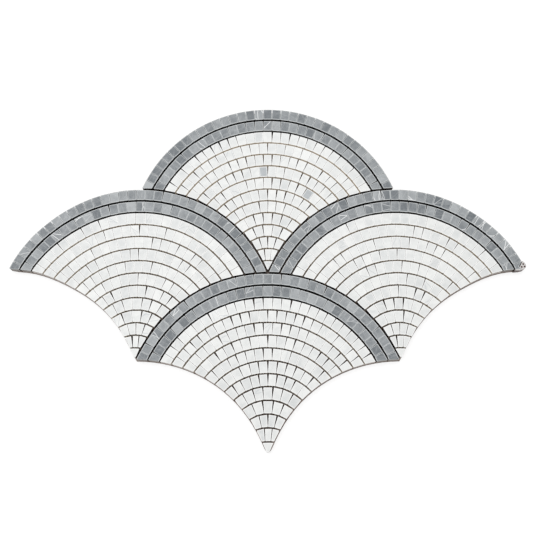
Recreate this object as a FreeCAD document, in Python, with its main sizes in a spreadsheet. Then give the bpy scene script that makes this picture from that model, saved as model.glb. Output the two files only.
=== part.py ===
import FreeCAD, Part
import math
import os
import Sketcher

# Fish scale mosaic sheet: four marble fans, laid point to point on one mesh backing.
# A fan is a scallop of rows of cut stones. Two grey rows follow its round edge, eleven white
# rows step down below them, and one pointed stone closes the tip. Every fan's two lower sides
# are the round edges of the fans beside it, so neighbouring sheets interlock.
# The sheet lies on its back: Z = 0 is the underside of the backing and +Z leaves the polished
# face. +Y points from the lowest tip to the highest crown, and the origin is at the middle.

SIZES = {
    "fan_width": 230.0,         # corner to corner, which is also the step from fan to fan
    "fan_drop": 78.0,           # from a fan's crown down to its corners, and again to its tip
    "fan_joint": 1.4,           # open joint between two fans
    "row_joint": 1.1,           # open joint between two rows of a fan
    "stone_width": 8.05,        # a stone and its joint, measured along the middle of a row
    "stone_joint": 0.3,         # between two stones, at the foot of their sides
    "grey_wedge": 0.4,          # the same joint at the head of a grey row's stones
    "white_wedge": 0.9,         # and at the head of a white row's stones
    "stone_thickness": 9.5,
    "tightest_bend": 28.0,      # the joints near the tip bend no tighter than this radius
    "tip_round": 0.6,           # worn point of the tip stone
    "backing_thickness": 0.8,   # glass fibre mesh with the glue that holds the stones to it
}
GREY_ROWS = 2
WHITE_ROWS = 11
ROWS = GREY_ROWS + WHITE_ROWS + 1   # the tip stone is the last row
FEWEST_STONES = 3                   # in the last row above the tip stone
SAMPLE_SHARE = 0.85                 # share of a row's reach at which its two centres are compared
CROWN_BEARING = 90                  # degrees, from +X round to the crown of a fan's round edge

# Each fan's tip, in half widths to the right and in drops upwards from the sheet's middle.
FANS = {
    "top_fan": (0, 0),
    "left_fan": (-1, -1),
    "right_fan": (1, -1),
    "bottom_fan": (0, -2),
}

# The sheet's outline, anticlockwise: the crown of each fan whose round edge it follows, in the
# same steps, which half of the edge (-1 right, 1 left, 0 both), and whether it is run backwards.
# The last four fans belong to the sheets that come next.
OUTLINE = (
    (1, 1, -1, False),
    (0, 2, 0, False),
    (-1, 1, 1, False),
    (-2, 0, -1, True),
    (-1, -1, -1, True),
    (1, -1, 1, True),
    (2, 0, 1, True),
)

doc = FreeCAD.newDocument("fish_scale_mosaic")
sheet = doc.addObject("Spreadsheet::Sheet", "sizes")
for line, (title, size) in enumerate(SIZES.items(), start=1):
    sheet.set(f"A{line}", title)
    sheet.set(f"B{line}", str(size))
    sheet.setAlias(f"B{line}", title)
doc.recompute()


def layout(name, formulas):
    """A set of named values that follow the sheet, as numbers in millimetres or degrees."""
    values = doc.addObject("App::VarSet", name)
    for title in formulas:
        kind = "App::PropertyInteger" if title == "stones" else "App::PropertyFloat"
        values.addProperty(kind, title, "layout")
    for title, formula in formulas.items():
        values.setExpression(title, formula.replace("@", f"{name}."))
    return values


# The crown and the two corners of a fan fix its round edge. A fan's own frame starts at its tip.
fan = layout("fan", {
    "half_width": "sizes.fan_width / 2",
    "radius": "(@half_width ^ 2 + sizes.fan_drop ^ 2) / (2 * sizes.fan_drop)",
    "spread": "asin(@half_width / @radius) / (1 deg)",
    "side_radius": "@radius + sizes.fan_joint / 2",
    "side_centre": "sizes.fan_drop - @radius",
})


def reach_formula(centre, radius):
    """Angle from the fan's axis at which a circle round a point of that axis meets the fan's side."""
    rise = f"(fan.side_centre - {centre})"
    apart = f"sqrt(fan.half_width ^ 2 + {rise} ^ 2)"
    opening = f"acos(({radius} ^ 2 + {apart} ^ 2 - fan.side_radius ^ 2) / (2 * {radius} * {apart}))"
    return f"(atan2(fan.half_width; {rise}) - {opening}) / (1 deg)"


def line_layout(line):
    """The circle of the joint over a row: its radius and its centre's height above the fan's tip.

    The lines divide the fan's height evenly and their radius shrinks with it, so each line's
    centre lies a little nearer to the tip than the one before.
    """
    share = 1 - line / ROWS
    return layout(f"line_{line}", {
        "radius": f"max(fan.radius * {share:.9f}; sizes.tightest_bend)",
        "centre": f"2 * sizes.fan_drop * {share:.9f} - @radius",
    })


def row_layout(row):
    """The circles on which the stones of a row end, and how the stones share them out.

    Seen from the lower centre of the foot circle, the joints between the stones lie closer
    together than they do from the head circle's, and a sample near the row's end shows how much.
    """
    upper_joint = "sizes.fan_joint" if row == 0 else "sizes.row_joint"
    offset = "(@head_centre - @foot_centre)"
    wedge = "sizes.grey_wedge" if row < GREY_ROWS else "sizes.white_wedge"
    middle_centre = f"((line_{row}.centre + line_{row + 1}.centre) / 2)"
    middle_radius = "((@head_radius + @foot_radius) / 2)"
    return layout(f"row_{row + 1}", {
        "head_centre": f"line_{row}.centre",
        "foot_centre": f"line_{row + 1}.centre",
        "head_radius": f"line_{row}.radius - {upper_joint} / 2",
        "foot_radius": f"line_{row + 1}.radius + sizes.row_joint / 2",
        "reach": reach_formula("@head_centre", "@head_radius"),
        "middle_length": f"2 * {reach_formula(middle_centre, middle_radius)} * pi / 180 * {middle_radius}",
        "stones": f"max({FEWEST_STONES}; ceil(@middle_length / sizes.stone_width))",
        "step": "2 * @reach / @stones",
        "first": "@reach - @step / 2",
        "head_height": "@head_radius * cos(@step * 0.5 deg)",
        "rough_foot": "@foot_centre + @foot_radius - @head_centre - sizes.row_joint",
        "head_width": f"2 * @head_radius * sin(@step * 0.5 deg) - {wedge}",
        "foot_width": "2 * @rough_foot * sin(@step * 0.5 deg) - sizes.stone_joint",
        "sample": f"{SAMPLE_SHARE} * @reach",
        "bearing_change": f"asin({offset} / @foot_radius * sin(@sample * 1 deg)) / (1 deg)",
        "foot_step": "@step * (1 - @bearing_change / @sample)",
        "chord": "2 * @foot_radius * sin(@foot_step * 0.5 deg)",
    })


def new_body(label, across, up, height):
    """An empty body, its origin a number of half widths and drops from the sheet's middle."""
    body = doc.addObject("PartDesign::Body", label)
    body.Label = label
    body.AllowCompound = True
    body.setExpression("Placement.Base.x", f"{across} * fan.half_width")
    body.setExpression("Placement.Base.y", f"{up} * sizes.fan_drop")
    body.setExpression("Placement.Base.z", height)
    return body


def new_sketch(body, name):
    """A sketch on the ground plane of a body."""
    sketch = body.newObject("Sketcher::SketchObject", f"{body.Label}_{name}")
    ground = next(f for f in body.Origin.OriginFeatures if f.Role == "XY_Plane")
    sketch.AttachmentSupport = (ground, [""])
    sketch.MapMode = "FlatFace"
    return sketch


def hold(sketch, constraint, title, formula):
    """Add a constraint to a sketch, name it and tie it to a formula."""
    index = sketch.addConstraint(constraint)
    sketch.renameConstraint(index, title)
    sketch.setExpression(f"Constraints.{title}", formula)


def circle_sketch(body, name, x, y, radius):
    """A sketch of one circle, its centre and radius each a formula."""
    sketch = new_sketch(body, name)
    centre = FreeCAD.Vector(sheet.evalExpression(x), sheet.evalExpression(y), 0)
    size = sheet.evalExpression(radius)
    sketch.addGeometry(Part.Circle(centre, FreeCAD.Vector(0, 0, 1), size))
    hold(sketch, Sketcher.Constraint("Radius", 0, size), "radius", radius)
    hold(sketch, Sketcher.Constraint("DistanceX", -1, 1, 0, 3, centre.x), "x", x)
    hold(sketch, Sketcher.Constraint("DistanceY", -1, 1, 0, 3, centre.y), "y", y)
    return sketch


def pad(body, sketch, thickness):
    """Raise a sketch from the ground plane."""
    feature = body.newObject("PartDesign::Pad", f"{body.Label}_pad")
    feature.Profile = sketch
    feature.setExpression("Length", thickness)
    return feature


def cut_through(body, sketch):
    """Cut a sketch's outline upwards through all stones of a body."""
    pocket = body.newObject("PartDesign::Pocket", f"{sketch.Name}_cut")
    pocket.Profile = sketch
    pocket.Type = "ThroughAll"
    pocket.Reversed = True
    return pocket


def cut_sides(body):
    """Trim stones by the round edges of the two fans beside their own."""
    for side, x in (("left", "-fan.half_width"), ("right", "fan.half_width")):
        cut_through(body, circle_sketch(body, side, x, "fan.side_centre", "fan.side_radius"))


def outline(sketch, corners):
    """Close a straight-sided outline through some corners."""
    sketch.addGeometry([Part.LineSegment(a, b) for a, b in zip(corners, corners[1:] + corners[:1])])
    for side in range(len(corners)):
        sketch.addConstraint(Sketcher.Constraint("Coincident", side, 2, (side + 1) % len(corners), 1))


def turn_to(sketch, centre, angle):
    """Place a sketch round a point of the fan's axis and turn it to a row's first stone."""
    sketch.setExpression("AttachmentOffset.Base.y", centre)
    sketch.setExpression("AttachmentOffset.Rotation.Angle", f"{angle} * 1 deg")


def repeat(body, feature, sketch, count, step):
    """Repeat a feature round its sketch's own centre, from the left to the right."""
    pattern = body.newObject("PartDesign::PolarPattern", f"{feature.Name}_row")
    pattern.Originals = [feature]
    pattern.Axis = (sketch, ["N_Axis"])
    pattern.Mode = "Spacing"
    pattern.Reversed = True
    pattern.setExpression("Occurrences", count)
    pattern.setExpression("Offset", f"{step} * 1 deg")
    body.Tip = pattern


def lay_stones(body, row):
    """One stone with its head on the row's upper circle, repeated along the row."""
    sketch = new_sketch(body, "stone")
    turn_to(sketch, f"{row.Name}.head_centre", f"{row.Name}.first")
    head, foot, top, low = row.head_width / 2, row.foot_width / 2, row.head_height, row.rough_foot
    corners = ((-head, top), (head, top), (foot, low), (-foot, low))
    outline(sketch, [FreeCAD.Vector(x, y, 0) for x, y in corners])
    for side in (0, 2):
        sketch.addConstraint(Sketcher.Constraint("Symmetric", side, 1, side, 2, -2))
    hold(sketch, Sketcher.Constraint("DistanceX", 0, 1, 0, 2, 2 * head), "head", f"{row.Name}.head_width")
    hold(sketch, Sketcher.Constraint("DistanceX", 2, 2, 2, 1, 2 * foot), "foot", f"{row.Name}.foot_width")
    hold(sketch, Sketcher.Constraint("DistanceY", -1, 1, 0, 1, top), "top", f"{row.Name}.head_height")
    hold(sketch, Sketcher.Constraint("DistanceY", -1, 1, 2, 1, low), "low", f"{row.Name}.rough_foot")
    stone = pad(body, sketch, "sizes.stone_thickness")
    repeat(body, stone, sketch, f"{row.Name}.stones", f"{row.Name}.step")


def cut_feet(body, row):
    """Square off the foot of every stone along a chord of the row's lower circle."""
    sketch = new_sketch(body, "feet")
    sketch.setExpression("AttachmentOffset.Base.y", f"{row.Name}.foot_centre")
    count, half_turn = int(row.stones), row.foot_step * row.stones / 2
    axis = FreeCAD.Vector(0, 0, 1)
    spoke = FreeCAD.Vector(0, row.foot_radius, 0)
    turns = [half_turn - row.foot_step * joint for joint in range(count + 1)]
    outline(sketch, [FreeCAD.Vector()] + [FreeCAD.Rotation(axis, turn).multVec(spoke) for turn in turns])
    rim = sketch.addGeometry(Part.Circle(FreeCAD.Vector(), axis, row.foot_radius), True)
    sketch.addConstraint(Sketcher.Constraint("Coincident", 0, 1, -1, 1))
    sketch.addConstraint(Sketcher.Constraint("Coincident", rim, 3, -1, 1))
    for chord in range(1, count + 1):
        sketch.addConstraint(Sketcher.Constraint("PointOnObject", chord, 1, rim))
        if chord > 1:
            sketch.addConstraint(Sketcher.Constraint("Equal", 1, chord))
    sketch.addConstraint(Sketcher.Constraint("PointOnObject", count, 2, rim))
    sketch.addConstraint(Sketcher.Constraint("Horizontal", 1, 1, count, 2))
    hold(sketch, Sketcher.Constraint("Radius", rim, row.foot_radius), "radius", f"{row.Name}.foot_radius")
    hold(sketch, Sketcher.Constraint("Distance", 1, row.chord), "chord", f"{row.Name}.chord")
    cut_through(body, sketch)


def build_row(body, row):
    """A row of separate stones between its two circles, trimmed by the fans on both sides."""
    lay_stones(body, row)
    cut_feet(body, row)
    cut_sides(body)


def build_tip(body, line):
    """The last stone: what the circle over it leaves between both sides, with a worn point."""
    radius = f"{line.Name}.radius - sizes.row_joint / 2"
    disc = circle_sketch(body, "disc", "0", f"{line.Name}.centre", radius)
    pad(body, disc, "sizes.stone_thickness")
    cut_sides(body)
    doc.recompute()
    stone = body.Tip
    uprights = [edge for edge in stone.Shape.Edges if edge.BoundBox.ZLength > sheet.stone_thickness / 2]
    point = min(uprights, key=lambda edge: edge.BoundBox.YMin)
    number = next(i for i, edge in enumerate(stone.Shape.Edges, start=1) if edge.isSame(point))
    worn = body.newObject("PartDesign::Fillet", f"{body.Name}_worn_point")
    worn.Base = (stone, [f"Edge{number}"])
    worn.setExpression("Radius", "sizes.tip_round")


def build_copy(body, original):
    """The same row of another fan."""
    copy = body.newObject("PartDesign::FeatureBase", f"{body.Name}_copy")
    copy.BaseFeature = original
    body.Tip = copy


def build_backing():
    """The sheet of mesh and glue, cut to the round edges of the fans on it and beside it."""
    body = new_body("mesh_backing", 0, 0, "0")
    sketch = new_sketch(body, "outline")
    radius = fan.radius
    for across, up, half, _ in OUTLINE:
        centre = FreeCAD.Vector(across * fan.half_width, up * sheet.fan_drop - radius, 0)
        start = CROWN_BEARING - (fan.spread if half <= 0 else 0)
        end = CROWN_BEARING + (fan.spread if half >= 0 else 0)
        circle = Part.Circle(centre, FreeCAD.Vector(0, 0, 1), radius)
        sketch.addGeometry(Part.ArcOfCircle(circle, math.radians(start), math.radians(end)))
    for arc, (across, up, _, backwards) in enumerate(OUTLINE):
        following = (arc + 1) % len(OUTLINE)
        leave, enter = (1 if backwards else 2), (2 if OUTLINE[following][3] else 1)
        sketch.addConstraint(Sketcher.Constraint("Coincident", arc, leave, following, enter))
        centre = sketch.Geometry[arc].Center
        x, y = f"{across} * fan.half_width", f"{up} * sizes.fan_drop - fan.radius"
        hold(sketch, Sketcher.Constraint("DistanceX", -1, 1, arc, 3, centre.x), f"x{arc}", x)
        hold(sketch, Sketcher.Constraint("DistanceY", -1, 1, arc, 3, centre.y), f"y{arc}", y)
        hold(sketch, Sketcher.Constraint("Radius", arc, radius), f"radius{arc}", "fan.radius")
    pad(body, sketch, "sizes.backing_thickness")
    return body


def row_label(fan_name, row):
    """A node's name: its fan, its colour and its place from the round edge down."""
    if row < GREY_ROWS:
        return f"{fan_name}_grey_row_{row + 1}"
    if row < ROWS - 1:
        return f"{fan_name}_white_row_{row + 1 - GREY_ROWS}"
    return f"{fan_name}_tip_stone"


lines = [line_layout(line) for line in range(ROWS)]
rows = [row_layout(row) for row in range(ROWS - 1)]
doc.recompute()

# The first fan is built row by row, and the others repeat it.
pieces = [build_backing()]
originals = {}
for fan_name, (across, up) in FANS.items():
    for row in range(ROWS):
        body = new_body(row_label(fan_name, row), across, up, "sizes.backing_thickness")
        pieces.append(body)
        if row in originals:
            build_copy(body, originals[row])
        elif row < ROWS - 1:
            build_row(body, rows[row])
        else:
            build_tip(body, lines[row])
        originals.setdefault(row, body)
doc.recompute()

for item in doc.Objects:
    if {"Invalid", "Error"} & set(item.State):
        raise RuntimeError(f"{item.Name} failed: {item.State}")
for body in pieces:
    if body.Shape.isNull() or not body.Shape.isValid() or body.Shape.Volume <= 0:
        raise RuntimeError(f"{body.Label} has no valid shape")

os.makedirs("parts", exist_ok=True)
for body in pieces:
    body.Shape.exportStep(f"parts/{body.Label}.step")
stones = sum(len(body.Shape.Solids) for body in pieces) - 1
print(f"{len(pieces)} pieces, {stones} stones, fan radius {fan.radius:.2f} mm")
print("stones in each row:", *[row.stones for row in rows])
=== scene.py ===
# %% [markdown]
# # A marble fan mosaic on its mesh
# The part is one sheet of wall or floor mosaic: four scallops, each made of some two hundred small
# marble stones that are glued to a glass fibre mesh. The CAD model gives every stone its place, and
# this lesson gives the stones their worn edges, their marble and the mesh that they sit on.
# Loading the model first fixes the frame. Nothing below moves a CAD node; a new piece stands in
# the same place, in metres.

# %% Load the model and note its size
import math
import random

import bmesh
import bpy
from mathutils import Matrix, Vector
from mathutils.bvhtree import BVHTree


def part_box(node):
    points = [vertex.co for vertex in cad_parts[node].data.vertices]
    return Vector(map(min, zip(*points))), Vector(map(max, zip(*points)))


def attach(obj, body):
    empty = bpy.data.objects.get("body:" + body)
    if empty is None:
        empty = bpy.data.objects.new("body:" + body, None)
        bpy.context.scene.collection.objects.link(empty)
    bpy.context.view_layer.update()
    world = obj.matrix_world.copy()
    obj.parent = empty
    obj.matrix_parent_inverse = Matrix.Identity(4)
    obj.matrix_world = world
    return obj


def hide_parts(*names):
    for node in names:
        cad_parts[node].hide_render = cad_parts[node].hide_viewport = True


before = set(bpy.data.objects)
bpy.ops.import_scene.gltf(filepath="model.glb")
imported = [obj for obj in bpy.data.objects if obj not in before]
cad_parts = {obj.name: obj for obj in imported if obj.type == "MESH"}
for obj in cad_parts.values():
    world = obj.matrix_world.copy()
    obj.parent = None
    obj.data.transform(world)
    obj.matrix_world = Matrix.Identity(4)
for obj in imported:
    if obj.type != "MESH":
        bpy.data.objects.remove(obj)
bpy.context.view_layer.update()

MM = 0.001

# %% [markdown]
# ## The sheet's own sizes
# A fan is drawn with three points: its crown and its two corners. The rows below the crown are
# smaller and smaller circles, whose centres close in on the fan's tip. Anything that has to know
# which way a stone faces needs those centres, so they are worked out here from the CAD boxes and
# not typed in.

# %% Fan sizes, read from the CAD boxes
FANS = ("top_fan", "left_fan", "right_fan", "bottom_fan")
GREY_ROWS = 2
WHITE_ROWS = 11
ROWS = GREY_ROWS + WHITE_ROWS + 1

sheet_low, sheet_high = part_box("mesh_backing")
half_width = (sheet_high.x - sheet_low.x) / 4
drop = (sheet_high.y - sheet_low.y) / 4
fan_radius = (half_width ** 2 + drop ** 2) / (2 * drop)
TIPS = {
    "top_fan": Vector((0, 0, 0)),
    "left_fan": Vector((-half_width, -drop, 0)),
    "right_fan": Vector((half_width, -drop, 0)),
    "bottom_fan": Vector((0, -2 * drop, 0)),
}
face_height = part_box("top_fan_grey_row_1")[1].z
print("fan width, height and radius in mm:", round(2 * half_width / MM, 1), round(2 * drop / MM, 1),
      round(fan_radius / MM, 1))


# %% Names of a fan's CAD nodes, from the crown down
def row_nodes(fan, colour):
    """The CAD nodes of a fan's grey or white rows, each with its row number counted from 0."""
    if colour == "grey":
        return [(f"{fan}_grey_row_{n + 1}", n) for n in range(GREY_ROWS)]
    white = [(f"{fan}_white_row_{n + 1}", GREY_ROWS + n) for n in range(WHITE_ROWS)]
    return [*white, (f"{fan}_tip_stone", ROWS - 1)]


def row_centre(fan, row):
    """The middle of a row's circle."""
    share = 1 - row / ROWS
    return TIPS[fan] + Vector((0, (2 * drop - fan_radius) * share, 0))


print("last white node of the top fan:", row_nodes("top_fan", "white")[-1])

# %% [markdown]
# ## Stones, from the CAD rows
# The CAD stones are exact prisms, all alike in a row. The real ones were cut on a wet saw and
# nipped to length by hand, so no two are quite square and the gap between two of them is open at
# one joint and closed at the next. The polish stops at a worn, bruised edge.
# A stone could be built from nothing, but then it would have to be placed again. It is simpler to
# copy each row from the CAD model, merge its loose triangles into whole faces, and then push the
# sides of each stone in and out a little, lower and tilt its face by a hair, and bevel its edges.

# %% Copy a CAD row and merge its triangles
MERGE_WITHIN = 0.01 * MM
FLAT_WITHIN = math.radians(0.5)


def copy_of_row(node):
    """A bmesh of a CAD node, its triangles merged into the faces that they make up."""
    bm = bmesh.new()
    bm.from_mesh(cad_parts[node].data)
    bmesh.ops.remove_doubles(bm, verts=bm.verts, dist=MERGE_WITHIN)
    bmesh.ops.dissolve_limit(bm, angle_limit=FLAT_WITHIN, verts=bm.verts, edges=bm.edges)
    return bm


def separate_stones(bm):
    """The vertices of each stone in turn, always in the same order."""
    stones, seen = [], set()
    for start in bm.verts:
        if start in seen:
            continue
        seen.add(start)
        stone, reached = [], [start]
        while reached:
            vert = reached.pop()
            stone.append(vert)
            for other in (edge.other_vert(vert) for edge in vert.link_edges):
                if other not in seen:
                    seen.add(other)
                    reached.append(other)
        stones.append(stone)
    return stones


trial = copy_of_row("top_fan_white_row_1")
print("stones in the first white row:", len(separate_stones(trial)),
      "with", len(trial.faces), "faces")
trial.free()

# %% [markdown]
# ## Where a point of the sheet lies
# A stone on the edge of the sheet was trimmed to a drawn line, and its outer side is left as it is.
# Any other side looks on to a joint: between two rows, in the open wedge between two stones of a
# row, or in the deep joint between two fans. The material paints such a side darker by the kind of
# joint, partly as glue and sawing slurry and partly as painted shade deep in the joint.
# What a side looks on to follows from the outline of the CAD backing and from the fans' arcs.

# %% The outline of the sheet, and the lines between fans
EDGE, ROW_JOINT, STONE_JOINT, FAN_JOINT = 0.0, 1 / 3, 2 / 3, 1.0
NEAR_EDGE = 1.5 * MM
LEVEL = 0.5                 # a face that looks up or down more than this is no side
LOOKS_OUT = 0.6             # a side that looks out or in more than this faces the next row

backing = copy_of_row("mesh_backing")
outline = backing.copy()
level_faces = [face for face in outline.faces if abs(face.normal.z) > LEVEL]
bmesh.ops.delete(outline, geom=level_faces, context="FACES")
outline_tree = BVHTree.FromBMesh(outline)
outline.free()
middle_height = sheet_high.z / 2


def from_outline(spot):
    """How far a point is from the outline of the sheet, seen from above."""
    return outline_tree.find_nearest(Vector((spot.x, spot.y, middle_height)))[3]


def kind_of_joint(spot, normal, fan, centre):
    """What a side of a stone looks on to, from its middle as drawn."""
    flat = Vector((spot.x, spot.y, 0))
    if from_outline(spot) < NEAR_EDGE:
        return EDGE
    own = TIPS[fan] + Vector((0, 2 * drop - fan_radius, 0))
    beside = [TIPS[fan] + Vector((side * half_width, drop - fan_radius, 0)) for side in (-1, 1)]
    if min(abs((flat - middle).length - fan_radius) for middle in (own, *beside)) < NEAR_EDGE:
        return FAN_JOINT
    outwards = (flat - centre).normalized()
    return ROW_JOINT if abs(normal.dot(outwards)) > LOOKS_OUT else STONE_JOINT


print("from the crown and from the middle to the outline, in mm:",
      [round(from_outline(Vector((0, height, 0))) / MM, 1) for height in (2 * drop, 0)])

# %% [markdown]
# ## Faults of the hand
# On the real sheet the stones of a row touch at their feet. At their heads some joints are shut to
# a pale hairline and others gape. So each side of a stone is either `shut`, and swells until it
# nearly meets its neighbour, or `open`, and is drawn in by a chance amount. Near the crown few
# white stones gape in the left and right fans and more than half in the other two; near a tip,
# where the rows bend more, nearly all do, and fewer do towards the ends of a row. The shares below
# are those of the crown and of the tip. How far a side is drawn in is given in metres, and a
# negative number swells it.

# %% Push the sides of a stone in and out, and tilt its face
PINCH = {
    "grey": {"foot": (-0.14 * MM, -0.11 * MM), "shut": (-0.19 * MM, -0.16 * MM),
             "open": (0.10 * MM, 0.45 * MM)},
    "white": {"foot": (-0.165 * MM, -0.15 * MM), "shut": (-0.43 * MM, -0.38 * MM),
              "open": (0.06 * MM, 0.40 * MM)},
}
GREY_OPEN = 0.30
WHITE_OPEN = {"top_fan": (0.55, 1.0), "left_fan": (0.12, 1.0),
              "right_fan": (0.08, 1.0), "bottom_fan": (0.68, 1.0)}
WIDER = 0.3                 # how much wider joints gape where most of them do
DRAWN_BACK = {"grey": (0.24 * MM, 0.42 * MM), "white": (0.0, 0.16 * MM)}     # heads and feet
ON_OUTLINE = 1.0 * MM       # the stones stop 0.7 mm inside the drawn line
LOWEST_FACE = 0.30 * MM     # how far the lowest face lies under the highest
MOST_TILT = math.radians(0.7)
SEED = 20
chance = random.Random(SEED)


def middle_of(stone):
    """The middle of a stone's own box."""
    low = Vector([min(v.co[axis] for v in stone) for axis in range(3)])
    high = Vector([max(v.co[axis] for v in stone) for axis in range(3)])
    return (low + high) / 2


def open_share(fan, row, colour):
    """The share of sides that gape in a row."""
    if colour == "grey":
        return GREY_OPEN
    first, last = WHITE_OPEN[fan]
    return first + (last - first) * (row / ROWS) ** 2


def pinch_side(colour, share):
    """How far one side of a stone is drawn in at its foot and at its head."""
    foot = chance.uniform(*PINCH[colour]["foot"])
    if chance.random() < share:
        return foot, chance.uniform(*PINCH[colour]["open"]) * (1 + WIDER * share)
    return foot, chance.uniform(*PINCH[colour]["shut"])


def cut_by_hand(stone, centre, colour, share):
    """Make a stone a little out of square, and its face a little low and tilted."""
    middle = middle_of(stone)
    outwards = Vector((middle.x - centre.x, middle.y - centre.y, 0)).normalized()
    along = Vector((outwards.y, -outwards.x, 0))
    half_long = max(abs((v.co - middle).dot(outwards)) for v in stone)
    half_wide = max(abs((v.co - middle).dot(along)) for v in stone)
    if colour == "white":
        share *= outwards.y ** 2        # the ends of a row look sideways
    sides = {side: pinch_side(colour, share) for side in (-1, 1)}
    foot_back, head_back = (chance.uniform(*DRAWN_BACK[colour]) for _ in range(2))
    lower = chance.uniform(0, LOWEST_FACE)
    angle = chance.uniform(-MOST_TILT, MOST_TILT)
    tilt = Matrix.Rotation(angle, 3, chance.choice((outwards, along)))
    for vert in stone:
        across = (vert.co - middle).dot(along) / half_wide
        up = ((vert.co - middle).dot(outwards) / half_long + 1) / 2
        foot, head = sides[1 if across > 0 else -1]
        shift = -along * across * (foot + (head - foot) * up)
        shift += outwards * (foot_back * (1 - up) - head_back * up)
        if from_outline(vert.co) < ON_OUTLINE:
            shift = Vector((0, 0, 0))
        if vert.co.z > middle.z:
            arm = Vector((vert.co.x - middle.x, vert.co.y - middle.y, 0))
            shift.z = min((tilt @ arm).z - lower, 0)
        vert.co += shift


print("share of joints that gape in the top fan, row by row:",
      [round(open_share("top_fan", row, "white"), 2) for row in range(GREY_ROWS, ROWS)])

# %% [markdown]
# ## Worn edges
# The saw bruises a narrow band along the edge of the face, and handling rounds the edge itself and
# the upright corners. The band is inset first, while the face has few corners, and then one bevel
# of two segments goes round the rim and down the corners, so that a stone keeps to a few dozen
# faces: there are more than eight hundred stones. Each face then gets numbers that the materials
# read: `rim` for the worn edge and the band, which are painted paler, partly as bruising and partly
# as a painted highlight, `sawn` for the sides and the back, `joint` for what a side looks on to,
# `holes` for how strongly painted shade shows over the holes of the mesh in that joint, `glued` for
# a side that glue can run up, `facing` for how far an outer side looks to the right, which sets the
# painted light and shade of its glue, and `stained` for the outer worn edges, which glue on the
# hands has browned.

# %% Bevel one stone
WEAR = {"grey": (0.24 * MM, 0.38 * MM), "white": (0.18 * MM, 0.32 * MM)}
BAND = {"grey": 0.60 * MM, "white": 0.70 * MM}
# How pale the band is painted where it runs along the row, at heads and feet, and where it runs up
# the sides: partly bruising and partly a painted highlight, which falls most on heads and feet.
BAND_WEAR_AND_HIGHLIGHT = {"grey": {"row": 0.85, "side": 0.38}, "white": {"row": 0.85, "side": 0.75}}
SMALLEST_BANDED = 14 * MM ** 2              # a smaller face has no room for the band
SHARP = math.radians(25)
SIDE_BELOW, FLAT_ABOVE = 0.12, 0.985        # how far up a side and a polished face look
RUNS_UP = 0.7               # a strip that runs out or in more than this goes up the stone's side
ROUND = 0.5                 # the bevel profile that is a quarter of a circle


def wear(bm, edges, width, segments=2):
    """Round some edges by a width."""
    bmesh.ops.bevel(bm, geom=edges, offset=width, offset_type="OFFSET", segments=segments,
                    profile=ROUND, affect="EDGES", clamp_overlap=True, material=-1)


def in_order(edges):
    """Edges sorted by place, so that every run bevels them alike."""
    return sorted(edges, key=lambda e: (*e.verts[0].co, *e.verts[1].co))


def is_corner(edge):
    """Whether an edge stands upright where two sides meet at an angle."""
    tall = abs(edge.verts[0].co.z - edge.verts[1].co.z) > face_height / 2
    return tall and edge.calc_face_angle() > SHARP


def worn_edges(stone):
    """The edges round a stone's face, and its upright corners."""
    edges = in_order({edge for vert in stone for edge in vert.link_edges})
    high = [e for e in edges if min(vert.co.z for vert in e.verts) > face_height / 2]
    rim = [e for e in high if min(face.normal.z for face in e.link_faces) < SIDE_BELOW]
    return rim + [e for e in edges if is_corner(e)]


def runs_along(face, centre):
    """Whether a strip of the rim runs along the row or up the side of the stone."""
    longest = max(face.edges, key=lambda e: e.calc_length())
    way = (longest.verts[1].co - longest.verts[0].co).normalized()
    spot = face.calc_center_median()
    outwards = Vector((spot.x - centre.x, spot.y - centre.y, 0)).normalized()
    return "side" if abs(way.dot(outwards)) > RUNS_UP else "row"


def face_of(stone):
    """The polished face of a stone."""
    faces = (face for vert in stone for face in vert.link_faces)
    return max(faces, key=lambda f: (f.normal.z, f.calc_area()))


print("wear of grey and white edges in mm:", {
    colour: [round(width / MM, 2) for width in widths] for colour, widths in WEAR.items()})

# %% [markdown]
# ## Corners and tips
# A sheet laid by hand leaves the drawn line at its ends. Both outer corners were laid a little high
# and are knocked blunt. The three free tips were laid a little wide and end in a thumbnail shape,
# because a needle of marble would break, and the lowest one is also a little longer. So one
# function moves any point of the sheet from where it was drawn to where it was laid: more and more
# towards an end, and never where another fan lies beside it. Stones and backing both go through it.

# %% Blunt corners and wide tips
LEFT_CORNER, RIGHT_CORNER = Vector((-2 * half_width, 0, 0)), Vector((2 * half_width, 0, 0))
BLUNT = ((LEFT_CORNER, Vector((0.35, 0.5, 0)) * MM, 1.6 * MM),      # corner, push, roundness
         (RIGHT_CORNER, Vector((-5.8, 2.2, 0)) * MM, 0.8 * MM))
AT_CORNER = 2.5 * MM
RAISED = 2.7 * MM
RAISED_FROM, RAISED_TO, RAISED_BELOW = 168 * MM, 212 * MM, 55 * MM
LEFT_OUT = 1.1 * MM         # how far the left corner also lies to the left
FREE_SIDES = {"top_fan": (), "left_fan": (-1,), "right_fan": (1,), "bottom_fan": (-1, 1)}
WIDE_FROM, WIDEST = 42 * MM, 1.3 * MM
LONG_FROM = 55 * MM
LONGER = {"top_fan": 0, "left_fan": 0, "right_fan": 0, "bottom_fan": 2.5 * MM}
NARROWEST = 1.6 * MM
POINT = 5 * MM              # the part of a tip stone that is its point
THUMBNAILS = {              # how far a tip stone is drawn out, and its roundness
    "left_fan": (1.6 * MM, 3.0 * MM), "right_fan": (1.6 * MM, 3.0 * MM),
    "bottom_fan": (2.8 * MM, 4.6 * MM),
}
THUMBNAIL_STEPS = 4


def reach_at(height):
    """Half the width of a fan at a height above its tip."""
    level = min(max(fan_radius - drop + height, 0), fan_radius)
    return max(half_width - math.sqrt(fan_radius ** 2 - level ** 2), NARROWEST)


def fan_at(spot):
    """The fan that a point of the sheet's free edge belongs to."""
    if spot.y < -drop:
        return "bottom_fan"
    return "left_fan" if spot.x < -half_width else "right_fan" if spot.x > half_width else "top_fan"


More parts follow.
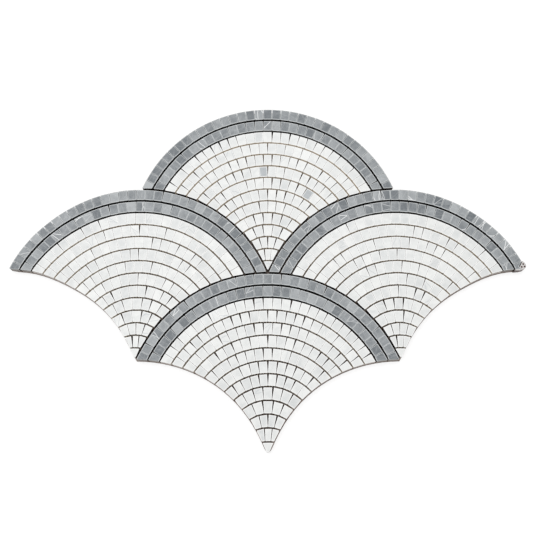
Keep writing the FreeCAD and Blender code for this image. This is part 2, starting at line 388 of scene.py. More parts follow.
def as_laid(spot, fan):
    """Where a point of a fan was really laid."""
    height, across = spot.y - TIPS[fan].y, spot.x - TIPS[fan].x
    laid = spot.copy()
    if height < WIDE_FROM and (1 if across > 0 else -1) in FREE_SIDES[fan]:
        laid.x += across / reach_at(height) * WIDEST * (1 - height / WIDE_FROM)
    if height < LONG_FROM:
        laid.y -= LONGER[fan] * (1 - height / LONG_FROM)
    share = min(max((abs(spot.x) - RAISED_FROM) / (RAISED_TO - RAISED_FROM), 0), 1)
    share = share ** 2 * (3 - 2 * share) * min(max(1 - spot.y / RAISED_BELOW, 0), 1)
    laid.y += RAISED * share
    if spot.x < 0:
        laid.x -= LEFT_OUT * share
    return laid


def round_tip(bm, fan, beyond, width):
    """Draw the point of a tip out to one upright edge and round it to a thumbnail shape."""
    heights = [v.co.z for v in bm.verts]
    middle_level = (min(heights) + max(heights)) / 2
    low = [v for v in bm.verts if (v.co.xy - TIPS[fan].xy).length < POINT]
    end = min(v.co.y for v in low) - beyond
    above = [v for v in low if v.co.z > middle_level]
    below = [v for v in low if v.co.z < middle_level]
    for level in (above, below):
        middle = sum((v.co for v in level), Vector()) / len(level)
        bmesh.ops.pointmerge(bm, verts=level, merge_co=(middle.x, end, middle.z))
    bm.normal_update()
    at_end = [e for e in bm.edges if max(v.co.y for v in e.verts) < end + MM]
    wear(bm, at_end, width, THUMBNAIL_STEPS)


def near_corner(bm, corner):
    """The vertices close to where an outer corner of the sheet was laid."""
    laid = as_laid(corner, fan_at(corner))
    return [v for v in bm.verts if (v.co.xy - laid.xy).length < AT_CORNER]


def blunt_corners(bm):
    """Push in the two outer corners of the sheet, and round them."""
    for corner, push, roundness in BLUNT:
        near = near_corner(bm, corner)
        for vert in near:
            vert.co += push
        if near:
            bm.normal_update()
            upright = {e for v in near for e in v.link_edges if is_corner(e)}
            wear(bm, in_order(upright), roundness)


print("half a fan's width 10, 20 and 40 mm above its tip, in mm:",
      [round(reach_at(height * MM) / MM, 1) for height in (10, 20, 40)])

# %% Build the stones of one row
FACE_LAYERS = ("rim", "stained", "sawn", "glued", "joint", "holes", "facing")
# How strongly the painted shade over the holes of the mesh shows in a joint: more towards each
# fan's tip and in the lower fans, where the camera looks deeper into the joints, and most on sides
# that look up or down the sheet.
HOLES_SHOW = {"top_fan": (0.0, 0.6), "left_fan": (0.5, 1.0),       # first row and tip
              "right_fan": (0.5, 1.0), "bottom_fan": (0.9, 1.0)}
FEWEST_HOLES = 0.6          # what is left of them in a joint that runs up the sheet
HOLES_FROM, HOLES_RISE = 0.75, 0.2          # how far up the sheet a side looks where they show
STAIN = 0.65


def label_faces(bm, fan, row, layers):
    """Mark each face as polished, rim or sawn, for the materials."""
    centre = row_centre(fan, row)
    first, last = HOLES_SHOW[fan]
    for face in bm.faces:
        spot = face.calc_center_median()
        as_drawn = 2 * spot - as_laid(spot, fan)        # nearly undoes as_laid
        if SIDE_BELOW < face.normal.z < FLAT_ABOVE:
            face[layers["rim"]] = 1.0
            face[layers["stained"]] = STAIN if from_outline(as_drawn) < ON_OUTLINE else 0.0
        if face.normal.z <= SIDE_BELOW:
            face[layers["sawn"]] = 1.0
            face[layers["glued"]] = float(face.normal.z > -LEVEL)
            face[layers["joint"]] = kind_of_joint(as_drawn, face.normal, fan, centre)
            if face[layers["joint"]] == EDGE:
                face[layers["facing"]] = face.normal.x
            else:
                # Painted shade over the holes of the mesh, strongest on a side that looks up or
                # down the sheet.
                shown = (abs(face.normal.y) - HOLES_FROM) / HOLES_RISE
                shown = min(max(shown, FEWEST_HOLES), 1)
                face[layers["holes"]] = shown * (first + (last - first) * row / ROWS)
        face.smooth = -LEVEL < face.normal.z < FLAT_ABOVE and len(face.verts) == 4


def row_of_stones(node, fan, row, colour):
    """The worn stones of one CAD row."""
    bm = copy_of_row(node)
    layers = {name: bm.faces.layers.float.new(name) for name in FACE_LAYERS}
    for stone in separate_stones(bm):
        cut_by_hand(stone, row_centre(fan, row), colour, open_share(fan, row, colour))
    for vert in bm.verts:
        vert.co = as_laid(vert.co, fan)
    bm.normal_update()
    if row == ROWS - 1 and fan in THUMBNAILS:
        round_tip(bm, fan, *THUMBNAILS[fan])
    blunt_corners(bm)
    bm.normal_update()
    faces = [face_of(stone) for stone in separate_stones(bm)]
    faces = [face for face in faces if face.calc_area() > SMALLEST_BANDED]
    band = bmesh.ops.inset_individual(bm, faces=faces, thickness=BAND[colour], use_even_offset=True)
    for face in band["faces"]:
        face[layers["rim"]] = BAND_WEAR_AND_HIGHLIGHT[colour][runs_along(face, row_centre(fan, row))]
    bm.normal_update()
    for stone in separate_stones(bm):
        wear(bm, worn_edges(stone), chance.uniform(*WEAR[colour]))
    bm.normal_update()
    label_faces(bm, fan, row, layers)
    return bm


print("numbers on each face:", FACE_LAYERS)

# %% [markdown]
# ## One piece for each fan and colour
# The rows of one colour in one fan become a single piece. Marble is cut from blocks, so the
# pattern of a stone has nothing to do with its neighbour's: each stone gets its own place and turn
# in the block (`block_place`, `block_turn`), its own tone from dark (0) to pale (1), and its own
# share of veins. A few stones that stand out on the real sheet are given theirs one by one, named
# by where they lie in millimetres from the middle of the sheet.

# %% The stones that stand out
TONES = {"grey": (0.41, 0.20), "white": (0.79, 0.07)}       # mean and spread
VEINED_SHARE = {"grey": 0.12, "white": 0.08}
CLEAR_VEINS, FAINT_VEINS = (0.4, 1.0), 0.10
BY_HAND = {                 # x, y, tone and veins
    "grey": (
        (1, 150, 0.05, 0.0), (9, 149, 0.12, 0.0), (-15, 149, 0.10, 0.0), (-6, 150, 0.62, 1.0),
        (-125, 61, 0.95, 0.0), (-163, 52, 0.90, 0.3), (59, 44, 0.95, 0.2), (133, 74, 0.85, 1.0),
        (96, 72, 0.85, 1.0), (198, 42, 0.55, 1.0), (210, 25, 0.80, 1.0), (-189, 36, 0.45, 1.0),
        (-207, 33, 0.85, 0.0),
    ),
    "white": ((-1, 95, 0.02, 0.0), (38, 72, 0.0, 0.6)),
}
REACH = 3.25 * MM           # how near its named place such a stone has to lie


def tone_and_veins(colour, middle):
    """How pale and how veined a stone is."""
    mean, spread = TONES[colour]
    tone = min(max(chance.gauss(mean, spread), 0), 1)
    veined = chance.random() < VEINED_SHARE[colour]
    veins = chance.uniform(*CLEAR_VEINS) if veined else FAINT_VEINS
    for x, y, hand_tone, hand_veins in BY_HAND[colour]:
        if math.hypot(middle.x - x * MM, middle.y - y * MM) < REACH:
            tone, veins = hand_tone, hand_veins
    return tone, veins


print("stones set by hand:", {colour: len(stones) for colour, stones in BY_HAND.items()})

# %% Give each stone its own marble
STONE_LAYERS = ("tone", "veins", "block_turn")
BLOCK = 0.5                 # half the side of the block that stones are cut from, in metres


def label_stones(bm, colour):
    """Write the numbers that are the same all over one stone on its faces."""
    layers = {name: bm.faces.layers.float.new(name) for name in STONE_LAYERS}
    place = bm.faces.layers.float_vector.new("block_place")
    for stone in separate_stones(bm):
        middle = middle_of(stone)
        tone, veins = tone_and_veins(colour, middle)
        turn = chance.uniform(0, math.tau)
        spot = Vector([chance.uniform(-BLOCK, BLOCK) for _ in range(3)])
        for face in {face for vert in stone for face in vert.link_faces}:
            face[layers["tone"]] = tone
            face[layers["veins"]] = veins
            face[layers["block_turn"]] = turn
            face[place] = spot


print("numbers on each stone:", STONE_LAYERS)

# %% Turn a bmesh into a piece of the scene
def mesh_of(bm, name):
    """A mesh with what a bmesh holds. The bmesh is let go."""
    mesh = bpy.data.meshes.new(name)
    bm.to_mesh(mesh)
    bm.free()
    return mesh


def put(name, data):
    """A new object in the scene."""
    made = bpy.data.objects.new(name, data)
    bpy.context.scene.collection.objects.link(made)
    return made


def show(mesh, material, slot, *nodes):
    """Put a finished mesh in the scene as a piece that stands for some CAD nodes."""
    piece = put(mesh.name, mesh)
    mesh.materials.append(material)
    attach(piece, "root")
    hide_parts(*nodes)
    triangles = sum(len(face.vertices) - 2 for face in mesh.polygons)
    print(mesh.name, "faces:", len(mesh.polygons), "triangles:", triangles)


# %% [markdown]
# ## Colours and nodes
# Colours are written as they look on a screen and turned to the linear values that a shader
# works with. One small function adds a node, sets it and joins it to what feeds it. The others
# only shorten it for the kinds of node that are needed most.

# %% A colour and a node
def paint(code):
    """The linear colour of an sRGB hex code."""
    values = [int(code[i:i + 2], 16) / 255 for i in (1, 3, 5)]
    linear = [v / 12.92 if v <= 0.04045 else ((v + 0.055) / 1.055) ** 2.4 for v in values]
    return (*linear, 1.0)


def new_material(name):
    """An empty node material and its shader."""
    material = bpy.data.materials.new(name)
    material.use_nodes = True
    return material.node_tree, material.node_tree.nodes["Principled BSDF"], material


def add(tree, kind, sockets=(), **settings):
    """Add a node, with its settings and with values or links for its sockets."""
    made = tree.nodes.new(kind)
    for name, value in settings.items():
        setattr(made, name, value)
    for socket, value in dict(sockets).items():
        if isinstance(value, bpy.types.NodeSocket):
            tree.links.new(value, made.inputs[socket])
        else:
            made.inputs[socket].default_value = value
    return made


def blend(tree, amount, under, over):
    """Mix two colours, each a value or a link, as far as amount says. Its sockets go by number."""
    return add(tree, "ShaderNodeMix", {0: amount, 6: under, 7: over}, data_type="RGBA").outputs[2]


def calc(tree, operation, *values, **settings):
    """A sum with numbers, each a value or a link."""
    sockets = dict(enumerate(values))
    return add(tree, "ShaderNodeMath", sockets, operation=operation, **settings).outputs[0]


def fade(tree, value, low, high, at_low=0.0, at_high=1.0):
    """A number that goes from at_low to at_high while a value goes from low to high."""
    sockets = {"Value": value, "From Min": low, "From Max": high,
               "To Min": at_low, "To Max": at_high}
    return add(tree, "ShaderNodeMapRange", sockets).outputs["Result"]


def noise(tree, spot, size, detail, **sockets):
    """A number that changes from place to place, over about the given size."""
    sockets = {"Vector": spot, "Scale": 1 / size, "Detail": detail, **sockets}
    return add(tree, "ShaderNodeTexNoise", sockets).outputs["Fac"]


def roughen(tree, shader, height, strength, depth):
    """Let a number raise the surface, by up to a depth in metres."""
    sockets = {"Strength": strength, "Distance": depth, "Height": height}
    raised = add(tree, "ShaderNodeBump", sockets)
    tree.links.new(raised.outputs["Normal"], shader.inputs["Normal"])


print("mid grey in linear light:", [round(v, 3) for v in paint("#989b9c")])

# %% [markdown]
# ## Marble
# Marble is crystalline calcite, sawn into strips and honed to a soft shine. It gives the eye three
# things: clouds a few millimetres across where the stone is more or less pure, thin veins that
# cross a stone and stop at its edge, and a fine sugary grain. Where the polish is gone, at the rim
# and on the sawn sides, the crystals are bruised and dull. The rim is painted paler, partly as this
# bruising and partly as a painted highlight along the edges, which shows most on the grey stones:
# it draws a pale line round each. A vein is a crack that filled again, so it runs nearly straight,
# and two sets of them cross at a steep angle: the material measures how far a point is from the
# nearest line of two sets of parallel lines that bend a little.
# Both marbles are built alike and differ in their colours, so one function makes either. The low
# end of the sides is smeared with the glue that the stones were pressed into, only a little in the
# joints. On an outer side the glue colour is also painted light and shade: pale where the side
# looks left, towards the light, and dark brown where it looks right, away from it. A side that
# looks into a joint is painted darker by the kind of joint, partly as glue and slurry and partly
# as painted shade, with dark stripes of painted shade over the holes of the mesh below, so a
# joint looks dotted.
# White marble lets light through for some millimetres, so its sides in a row joint are not as dark
# as grey ones. True scattering would be slow and noisy, so these sides give off a little light.

# %% The parts of the marble
NOISE_RANGE = (0.3, 0.7)    # noise seldom leaves this range
CLOUD_SIZE = 7 * MM
VEIN_SPACING = 9 * MM
VEIN_WIDTH = 0.55 * MM
VEIN_CORE, VEIN_FADED = 0.25 * VEIN_WIDTH, 0.6 * VEIN_WIDTH
VEIN_BEND = 3 * MM
BEND_SIZE = VEIN_SPACING / 0.7
VEIN_DIRECTIONS = ((1.0, 0.0, 0.25), (0.88, 0.47, -0.2))
GRAIN_SIZE = 0.7 * MM       # real calcite grains are a third of this, too fine for the picture
GRAIN_DEPTH = 0.03 * MM
GLUE_SIZE = 2.0 * MM
GLUE_HEIGHT = (2.6 * MM, 4.2 * MM)
GLUE_CLIMB = 7 * MM         # how much higher the glue goes on a side that looks left or right
LESS_IN_JOINT = -1.6 * MM
GLUE_SHADE_TURNS = (-0.6, 0.9)    # how far a side looks to the right where its glue turns from painted light to painted shade
MESH_PITCH = 2.5 * MM
HOLE_EDGE = (0.40 * MM, 0.75 * MM)
BESIDE_HOLE = 0.15
HONED, BRUISED = 0.30, 0.70                 # roughness
CALCITE_IOR = 1.5


def veins_in(tree, block):
    """1 in a vein and 0 beside it."""
    bend = calc(tree, "MULTIPLY", noise(tree, block, BEND_SIZE, 2.0), VEIN_BEND)
    nearest = VEIN_SPACING
    for direction in VEIN_DIRECTIONS:
        along = add(tree, "ShaderNodeVectorMath", {0: block, 1: direction}, operation="DOT_PRODUCT")
        bent = calc(tree, "ADD", along.outputs["Value"], bend)
        nearest = calc(tree, "MINIMUM", calc(tree, "PINGPONG", bent, VEIN_SPACING / 2), nearest)
    return fade(tree, nearest, VEIN_CORE, VEIN_FADED, 1.0, 0.0)


def grime_and_shade_on_sides(tree, flat, number, colours):
    """The colour of a sawn side by the kind of joint, partly glue and slurry and partly painted
    shade, with stripes of painted shade over the holes of the mesh.
    """
    # A side in a joint is painted darker than a side on the outline, partly as glue and slurry and
    # partly as painted shade, darkest where a grey side looks into a row joint.
    ramp = add(tree, "ShaderNodeValToRGB", {"Fac": number["joint"]})
    ramp.color_ramp.interpolation = "CONSTANT"
    stops = ramp.color_ramp.elements
    stops[0].color = paint(colours["side"])
    stops[1].color = paint(colours["fan_joint"])
    stops[1].position = (STONE_JOINT + FAN_JOINT) / 2
    stops.new((EDGE + ROW_JOINT) / 2).color = paint(colours["row_joint"])
    stops.new((ROW_JOINT + STONE_JOINT) / 2).color = paint(colours["stone_joint"])
    # Dark stripes of painted shade over the holes of the mesh, one in each step of the mesh.
    from_yarn = calc(tree, "PINGPONG", flat["X"], MESH_PITCH / 2)
    hole_shade = fade(tree, from_yarn, *HOLE_EDGE, 1.0, BESIDE_HOLE)
    hole_shade = calc(tree, "MULTIPLY", hole_shade, number["holes"])
    return blend(tree, hole_shade, ramp.outputs["Color"], paint(colours["hole_shade"]))


def glue_on_sides(tree, here, flat, in_joint, number, colours):
    """Where glue covers the foot of a side, and its colour, which is also painted light and shade:
    pale on a side that looks left and dark brown on one that looks right.
    """
    smears = noise(tree, here, GLUE_SIZE, 2.0)
    line = fade(tree, smears, *NOISE_RANGE, *GLUE_HEIGHT)
    line = calc(tree, "MULTIPLY_ADD", in_joint, LESS_IN_JOINT, line)
    turned_aside = calc(tree, "ABSOLUTE", number["facing"])
    line = calc(tree, "MULTIPLY_ADD", turned_aside, GLUE_CLIMB, line)
    covered = calc(tree, "MULTIPLY", calc(tree, "LESS_THAN", flat["Z"], line), number["glued"])
    # Painted shade: a side that looks right, away from the light, gets the dark brown glue colour,
    # and one that looks left the pale one.
    shaded_on_right = fade(tree, number["facing"], *GLUE_SHADE_TURNS)
    return covered, blend(tree, shaded_on_right, paint(colours["thin_glue_lit"]), paint(colours["glue"]))


print("mm between veins and between yarns:", [round(s / MM, 1) for s in (VEIN_SPACING, MESH_PITCH)])

# %% Marble, cut and honed
def marble(name, colours, cloudiness, grain, glow):
    """Honed marble with clouds, veins, rims painted pale as wear and highlight, sawn sides painted
    darker in joints as slurry and shade, and glue at their foot.
    """
    tree, shader, material = new_material(name)
    here = add(tree, "ShaderNodeTexCoord").outputs["Object"]
    flat = add(tree, "ShaderNodeSeparateXYZ", {"Vector": here}).outputs
    number = {title: add(tree, "ShaderNodeAttribute", attribute_name=title).outputs["Fac"]
              for title in (*FACE_LAYERS, *STONE_LAYERS)}
    place = add(tree, "ShaderNodeAttribute", attribute_name="block_place").outputs["Vector"]
    turned = add(tree, "ShaderNodeVectorRotate", {"Vector": here, "Angle": number["block_turn"]},
                 rotation_type="Z_AXIS").outputs[0]
    block = add(tree, "ShaderNodeVectorMath", {0: turned, 1: place}).outputs[0]

    clouds = noise(tree, block, CLOUD_SIZE, 3.0, Roughness=0.55, Distortion=0.4)
    grains = noise(tree, block, GRAIN_SIZE, 1.0)
    clouded = fade(tree, clouds, *NOISE_RANGE, -cloudiness, cloudiness)
    grained = fade(tree, grains, *NOISE_RANGE, -grain, grain)
    shade = calc(tree, "ADD", calc(tree, "ADD", number["tone"], clouded), grained, use_clamp=True)
    vein = calc(tree, "MULTIPLY", veins_in(tree, block), number["veins"])
    colour = blend(tree, shade, paint(colours["dark"]), paint(colours["pale"]))
    colour = blend(tree, vein, colour, paint(colours["vein"]))
    # The rim colour is painted paler: partly bruised calcite, partly a painted highlight on the
    # edges.
    colour = blend(tree, number["rim"], colour, paint(colours["rim"]))
    colour = blend(tree, number["stained"], colour, paint(colours["glue"]))

    in_joint = calc(tree, "GREATER_THAN", number["joint"], ROW_JOINT / 2)
    grime_and_shade = grime_and_shade_on_sides(tree, flat, number, colours)
    covered, glue = glue_on_sides(tree, here, flat, in_joint, number, colours)
    colour = blend(tree, number["sawn"], colour, grime_and_shade)
    tree.links.new(blend(tree, covered, colour, glue), shader.inputs["Base Color"])

    before_wedge = calc(tree, "LESS_THAN", number["joint"], (ROW_JOINT + STONE_JOINT) / 2)
    glowing = calc(tree, "MULTIPLY", calc(tree, "MULTIPLY", before_wedge, in_joint), glow)
    tree.links.new(grime_and_shade, shader.inputs["Emission Color"])
    tree.links.new(glowing, shader.inputs["Emission Strength"])

    dull = calc(tree, "MAXIMUM", number["rim"], number["sawn"])
    tree.links.new(fade(tree, dull, 0.0, 1.0, HONED, BRUISED), shader.inputs["Roughness"])
    roughen(tree, shader, grains, 0.25, GRAIN_DEPTH)
    shader.inputs["IOR"].default_value = CALCITE_IOR
    return material


# The joint colours are partly glue and slurry and partly painted shade, and the colour over the
# holes of the mesh is painted shade. The rim colours are partly bruising and partly painted
# highlight, and the two glue colours of the outer sides are also painted light and shade.
MARBLES = {
    "grey": marble("bluish_grey_marble_honed", {
        "dark": "#63696e", "pale": "#adb1b3", "vein": "#f2f3f3", "rim": "#d2d5d6",
        "side": "#8f8c88", "row_joint": "#1b1a19", "stone_joint": "#4a4947",
        "fan_joint": "#241710", "hole_shade": "#0f0e0d", "glue": "#7d7169", "thin_glue_lit": "#b5aca6"},
        cloudiness=0.20, grain=0.12, glow=0.0),
    "white": marble("white_marble_honed", {
        "dark": "#b0b5b8", "pale": "#f0f1ef", "vein": "#c3c7ca", "rim": "#fcfcfb",
        "side": "#d6d1cb", "row_joint": "#c9c0b1", "stone_joint": "#4d463d",
        "fan_joint": "#2e2019", "hole_shade": "#1c1712", "glue": "#7b675d", "thin_glue_lit": "#cbc1bc"},
        cloudiness=0.14, grain=0.03, glow=0.15),
}
print("marbles:", [material.name for material in MARBLES.values()])

# %% Build the stones of all four fans
for fan in FANS:
    for colour in ("grey", "white"):
        together = bmesh.new()
        nodes = row_nodes(fan, colour)
        for node, row in nodes:
            bm = row_of_stones(node, fan, row, colour)
            label_stones(bm, colour)
            part = mesh_of(bm, "row")
            together.from_mesh(part)
            bpy.data.meshes.remove(part)
        mesh = mesh_of(together, f"{fan}_{colour}_stones")
        show(mesh, MARBLES[colour], f"{colour}_marble", *[node for node, _ in nodes])

# %% [markdown]
# ## Glue in the joints
# When the stones are pressed down, glue rises a little between them and dries as a web. The web
# also stands in for the shade at the bottom of a joint: without it the floor, which gives the eye
# light of its own, would show white through the joints. It also leaves a narrow brown margin
# outside the stones. The web is hard to draw, but all of it lies at one level. So one thin sheet
# does, a copy of the CAD backing drawn in a little all round and laid just above the backs of the
# stones, which hide all of it but the web and the margin. Glue dries in blotches, brown where it is
# thin and paler where it is thick, and its colour and its height follow the same blotches.

# %% A sheet like the backing, and a blotchy material
SHARPEST = 3.0              # how far out a sharp corner may go, in shell thicknesses


def drawn_in(depth, low, high):
    """The backing as it was laid, a little smaller all round, between two levels."""
    copy = backing.copy()
    copy.normal_update()
    inwards = [(v, -v.normal.xy * min(v.calc_shell_factor(), SHARPEST)) for v in copy.verts]
    for vert, way in inwards:
        vert.co.xy += way * depth
        vert.co.z = high if vert.co.z > middle_height else low
        vert.co = as_laid(vert.co, fan_at(vert.co))
    return copy


def blotchy(name, size, contrast, thin, thick, roughness, strength, depth):
    """A dull material whose colour and height follow the same blotches."""
    tree, shader, material = new_material(name)
    blotches = noise(tree, add(tree, "ShaderNodeTexCoord").outputs["Object"], size, 3.0)
    amount = fade(tree, blotches, *contrast)
    tree.links.new(blend(tree, amount, paint(thin), paint(thick)), shader.inputs["Base Color"])
    shader.inputs["Roughness"].default_value = roughness
    roughen(tree, shader, blotches, strength, depth)
    print("blotches of", name, "in mm:", round(size / MM, 1))
    return material


# %% The web of glue
WEB_LEVELS = (0.95 * MM, 1.25 * MM)
WEB_INSET = 0.25 * MM
WEB_SHIFT = 0.20 * MM       # the glue was wiped on from the left
WEB_TIP = (0.2 * MM, 5.0 * MM)          # how far it is drawn out, and its roundness
WEB_BLUNTER = 2             # how much further the web is pushed in at the corners

# The web is glue, and it also stands in for the shade at the bottom of the joints, where the floor
# would otherwise show white.
web = drawn_in(WEB_INSET, *WEB_LEVELS)
for vert in web.verts:
    vert.co.x += WEB_SHIFT
round_tip(web, "bottom_fan", *WEB_TIP)
for corner, push, _ in BLUNT:
    for vert in near_corner(web, corner):
        vert.co += push * WEB_BLUNTER
dried_glue = blotchy("mosaic_glue_dried", GLUE_SIZE, (0.35, 0.65), "#69564c", "#a09086",
                     roughness=0.55, strength=0.5, depth=0.2 * MM)
show(mesh_of(web, "glue_web_and_joint_shade"), dried_glue, "mesh_backing", "mesh_backing")

# %% [markdown]
# ## The lump at the right-hand corner
# At the right-hand corner of the real sheet the last stone is chipped, and a lump of glue has
# filled its place to the level of the face. The lump is pale where the glue is scraped and darker
# towards the bottom, and three dark brown dots of painted shade are set into it, for holes of the
# mesh in shade under the glue. The dots are a distance in the material: how far a point lies from
# the nearest of three spots, seen from above.

# %% The lump of glue and its dots
LUMP = ((-3.6, 10.6), (-1.7, 9.2), (-0.3, 6.9), (-0.6, 4.9), (-2.2, 3.2),   # mm from the corner
        (-5.5, 2.4), (-10.4, 2.0), (-10.2, 3.2), (-6.3, 5.0), (-4.6, 8.2))
LUMP_FOOT = 0.1 * MM
LUMP_HEIGHT = 10.0 * MM
LUMP_EDGE, LUMP_STEPS = 0.4 * MM, 3
BROWN_BELOW, PALE_ABOVE = 6 * MM, 9 * MM
SHADED_DOTS = ((-4.6, 5.0), (-3.1, 7.6), (-2.0, 5.4))
DOT_SIZE = 0.85 * MM
DOT_EDGE = (0.8 * DOT_SIZE, 1.2 * DOT_SIZE)

tree, shader, scraped_glue = new_material("mosaic_glue_scraped")
here = add(tree, "ShaderNodeTexCoord").outputs["Object"]
flattened = {0: here, 1: (1.0, 1.0, 0.0)}
from_above = add(tree, "ShaderNodeVectorMath", flattened, operation="MULTIPLY").outputs[0]
nearest = 1.0
for x, y in SHADED_DOTS:
    spot = RIGHT_CORNER + Vector((x, y, 0)) * MM
    apart = add(tree, "ShaderNodeVectorMath", {0: from_above, 1: tuple(spot)}, operation="DISTANCE")
    nearest = calc(tree, "MINIMUM", apart.outputs["Value"], nearest)
# Painted shade: three dark dots for holes of the mesh in shade under the glue.
dot = fade(tree, nearest, *DOT_EDGE, 1.0, 0.0)
height = add(tree, "ShaderNodeSeparateXYZ", {"Vector": here}).outputs["Z"]
low = fade(tree, height, BROWN_BELOW, PALE_ABOVE, 1.0, 0.0)
pale = blend(tree, noise(tree, here, GLUE_SIZE, 3.0), paint("#bdb8b5"), paint("#e0dedd"))
colour = blend(tree, calc(tree, "MAXIMUM", dot, low), pale, paint("#3c1a0e"))
tree.links.new(colour, shader.inputs["Base Color"])
shader.inputs["Roughness"].default_value = 0.55

bm = bmesh.new()
foot = bm.faces.new([bm.verts.new((RIGHT_CORNER.x + x * MM, y * MM, LUMP_FOOT)) for x, y in LUMP])
grown = bmesh.ops.extrude_face_region(bm, geom=[foot])["geom"]
top = [made for made in grown if isinstance(made, bmesh.types.BMVert)]
bmesh.ops.translate(bm, verts=top, vec=(0, 0, LUMP_HEIGHT))
bmesh.ops.recalc_face_normals(bm, faces=bm.faces)
top_edges = [e for e in bm.edges if min(v.co.z for v in e.verts) > LUMP_HEIGHT / 2]
wear(bm, top_edges, LUMP_EDGE, LUMP_STEPS)
for face in bm.faces:
    face.smooth = len(face.verts) == 4
show(mesh_of(bm, "corner_glue"), scraped_glue, "mesh_backing", "mesh_backing")

# %% [markdown]
# ## Mesh
# The stones are pressed into an open glass fibre mesh that was soaked in glue. Two thin yarns run
# side by side up the sheet and one flat yarn crosses them, every two and a half millimetres. It
# shows through the joints as a row of dots, and it is all that one sees of the back, apart from the
# sawn backs of the stones and the glue between them.
# A mesh of thousands of holes would be heavy, and a yarn is only a long bar with rounded edges.
# So each yarn is one bevelled bar, cut where a ray along it enters and leaves a copy of the CAD
# backing that is a little smaller all round, so that no yarn ends in the open.

# %% Where a line crosses the backing
YARN_INSET = 1.7 * MM       # the yarns end under the stones
SHORTEST_YARN = 2.5 * MM

trimmed = drawn_in(YARN_INSET, 0, face_height)
trimmed_tree = BVHTree.FromBMesh(trimmed)
trimmed.free()
backing.free()


def stretches(start, direction, length):
    """The parts of a line that lie inside the trimmed backing, as distances from its start."""
    cuts, origin, gone = [], start.copy(), 0.0
    while gone < length:
        spot, _, _, distance = trimmed_tree.ray_cast(origin, direction, length - gone)
        if spot is None:
            break
        gone += distance
        cuts.append(gone)
        gone += MERGE_WITHIN
        origin = start + direction * gone
    return [(a, b) for a, b in zip(cuts[::2], cuts[1::2]) if b - a > SHORTEST_YARN]


below_sheet = Vector((0, sheet_low.y - MM, middle_height))
middle_line = stretches(below_sheet, Vector((0, 1, 0)), 4 * drop + 2 * MM)
print("length of a yarn up the middle in mm:", [round((b - a) / MM, 1) for a, b in middle_line])

# %% Lay the yarns
YARN_WIDTH = {"across": 1.2 * MM, "upwards": 0.55 * MM}
YARN_LEVELS = {"across": (0.32 * MM, 0.80 * MM), "upwards": (0.0, 0.44 * MM)}
YARN_EDGE = 0.16 * MM
PAIR_STEP = 0.62 * MM


def lay_yarn(bm, start, end, width, levels):
    """Add a flat yarn between two points."""
    along = end - start
    middle = (start + end) / 2
    bar = bmesh.ops.create_cube(bm, size=1)["verts"]
    bmesh.ops.scale(bm, verts=bar, vec=(along.length, width, levels[1] - levels[0]))
    turn = Matrix.Rotation(math.atan2(along.y, along.x), 3, "Z")
    bmesh.ops.rotate(bm, verts=bar, matrix=turn)
    bmesh.ops.translate(bm, verts=bar, vec=(middle.x, middle.y, (levels[0] + levels[1]) / 2))


def yarns(name, offsets):
    """All yarns that run one way over the sheet."""
    bm = bmesh.new()
    level_line = name == "across"
    low, high = (sheet_low.y, sheet_high.y) if level_line else (sheet_low.x, sheet_high.x)
    reach = (sheet_high.x - sheet_low.x) if level_line else (sheet_high.y - sheet_low.y)
    count = int((high - low) / MESH_PITCH)
    first = (low + high) / 2 - MESH_PITCH * (count - 1) / 2
    direction = Vector((1, 0, 0)) if level_line else Vector((0, 1, 0))
    for line in range(count):
        for offset in offsets:
            place = first + line * MESH_PITCH + offset
            if level_line:
                start = Vector((sheet_low.x - MM, place, middle_height))
            else:
                start = Vector((place, sheet_low.y - MM, middle_height))
            for a, b in stretches(start, direction, reach + 2 * MM):
                ends = (start + direction * a, start + direction * b)
                lay_yarn(bm, *ends, YARN_WIDTH[name], YARN_LEVELS[name])
    lengths = [(e, (e.verts[1].co - e.verts[0].co).dot(direction)) for e in bm.edges]
    wear(bm, [e for e, length in lengths if abs(length) > MM], YARN_EDGE)
    for face in bm.faces:
        face.smooth = len(face.verts) == 4
    return mesh_of(bm, f"mesh_yarns_{name}")


# %% [markdown]
# ## Glue-soaked glass fibre
# Glass fibre yarn is bright and silky when dry. Soaked in mosaic glue it turns a dull tan, darker
# where the glue lies thick, with a faint sheen. The fibres are far too fine to show, so the
# pattern is the glue's: blotches of a few millimetres.

# %% Put the mesh under the stones
BLOTCH_SIZE = 3 * MM

glass_fibre = blotchy("glass_fibre_yarn_glued", BLOTCH_SIZE, (0.38, 0.66), "#b4a994", "#7a6a55",
                      roughness=0.6, strength=0.4, depth=0.08 * MM)
for name, offsets in (("across", (0,)), ("upwards", (-PAIR_STEP / 2, PAIR_STEP / 2))):
    show(yarns(name, offsets), glass_fibre, "mesh_backing", "mesh_backing")

# %% [markdown]
# ## Floor, light and camera
# The sheet lies face up on a white floor and is seen from above, a little from its lower end, so
# the sides of the lowest stones just show. A pale sky gives even light. One wide lamp hangs above,
# a little to the left and towards the far end, and gives the edges a direction. The floor and the
# sky are white to the camera, and the floor keeps the shadow.

# %% Floor
FLOOR_REACH = 4             # half a side, in metres
FLOOR_LEVEL = -0.1 * MM
FLOOR_LIFT = 0.72           # light that the floor gives the eye and nothing else


def seen_by_eye(tree):
    """1 for rays that show what is behind the object: straight, in a reflection, or through it."""
    path = add(tree, "ShaderNodeLightPath").outputs
    either = calc(tree, "MAXIMUM", path["Is Camera Ray"], path["Is Glossy Ray"])
    return calc(tree, "MAXIMUM", either, path["Is Transmission Ray"])


bm = bmesh.new()
bmesh.ops.create_grid(bm, x_segments=1, y_segments=1, size=FLOOR_REACH)
bmesh.ops.translate(bm, verts=bm.verts, vec=(0, 0, FLOOR_LEVEL))
floor = put("floor", mesh_of(bm, "floor"))

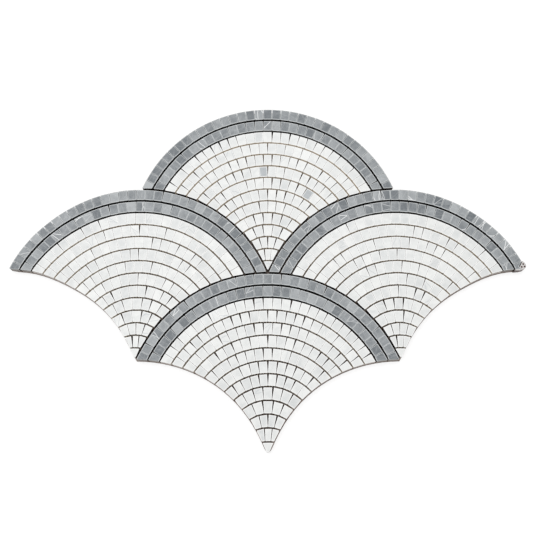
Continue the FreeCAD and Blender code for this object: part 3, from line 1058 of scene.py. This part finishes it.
tree, shader, matt_white = new_material("matt_white_floor")
shader.inputs["Base Color"].default_value = paint("#a6a6a6")
shader.inputs["Roughness"].default_value = 0.9
shader.inputs["Emission Color"].default_value = paint("#ffffff")
lift = calc(tree, "MULTIPLY", seen_by_eye(tree), FLOOR_LIFT)
tree.links.new(lift, shader.inputs["Emission Strength"])
floor.data.materials.append(matt_white)
print("floor of", 2 * FLOOR_REACH, "m")

# %% Light
SKY_LEVEL = 0.74
LAMP_POWER = 8.5
LAMP_SIZE = (1.4, 1.0)
LAMP_PLACE = (-0.25, 0.45, 1.6)

world = bpy.data.worlds.new("pale_studio")
bpy.context.scene.world = world
world.use_nodes = True
tree = world.node_tree
background = tree.nodes["Background"]
background.inputs["Color"].default_value = paint("#ffffff")
level = fade(tree, seen_by_eye(tree), 0.0, 1.0, SKY_LEVEL, 1.0)
tree.links.new(level, background.inputs["Strength"])

lamp_data = bpy.data.lights.new("wide_lamp", "AREA")
lamp_data.shape = "RECTANGLE"
lamp_data.size, lamp_data.size_y = LAMP_SIZE
lamp_data.energy = LAMP_POWER
lamp = put("wide_lamp", lamp_data)
lamp.location = LAMP_PLACE
lamp.rotation_euler = (-Vector(LAMP_PLACE)).to_track_quat("-Z", "Y").to_euler()
print("lamp of", LAMP_POWER, "W at", LAMP_PLACE)

# %% Camera
LOOK_AT = Vector((-0.00115, 0.0055, 0.0103))
SEEN_FROM = Vector((-0.00115, -0.1670, 0.7378))
ROLL = math.radians(-0.04)
SENSOR, LENS = 36, 56.9     # in mm

lens = bpy.data.cameras.new("camera")
lens.sensor_width = SENSOR
lens.lens = LENS
camera = put("camera", lens)
looking = LOOK_AT - SEEN_FROM
camera.matrix_world = (Matrix.Translation(SEEN_FROM)
                       @ looking.to_track_quat("-Z", "Y").to_matrix().to_4x4()
                       @ Matrix.Rotation(ROLL, 4, "Z"))
bpy.context.scene.camera = camera
bpy.context.scene.view_settings.view_transform = "Standard"
print("camera", round(looking.length, 3), "m from the sheet")
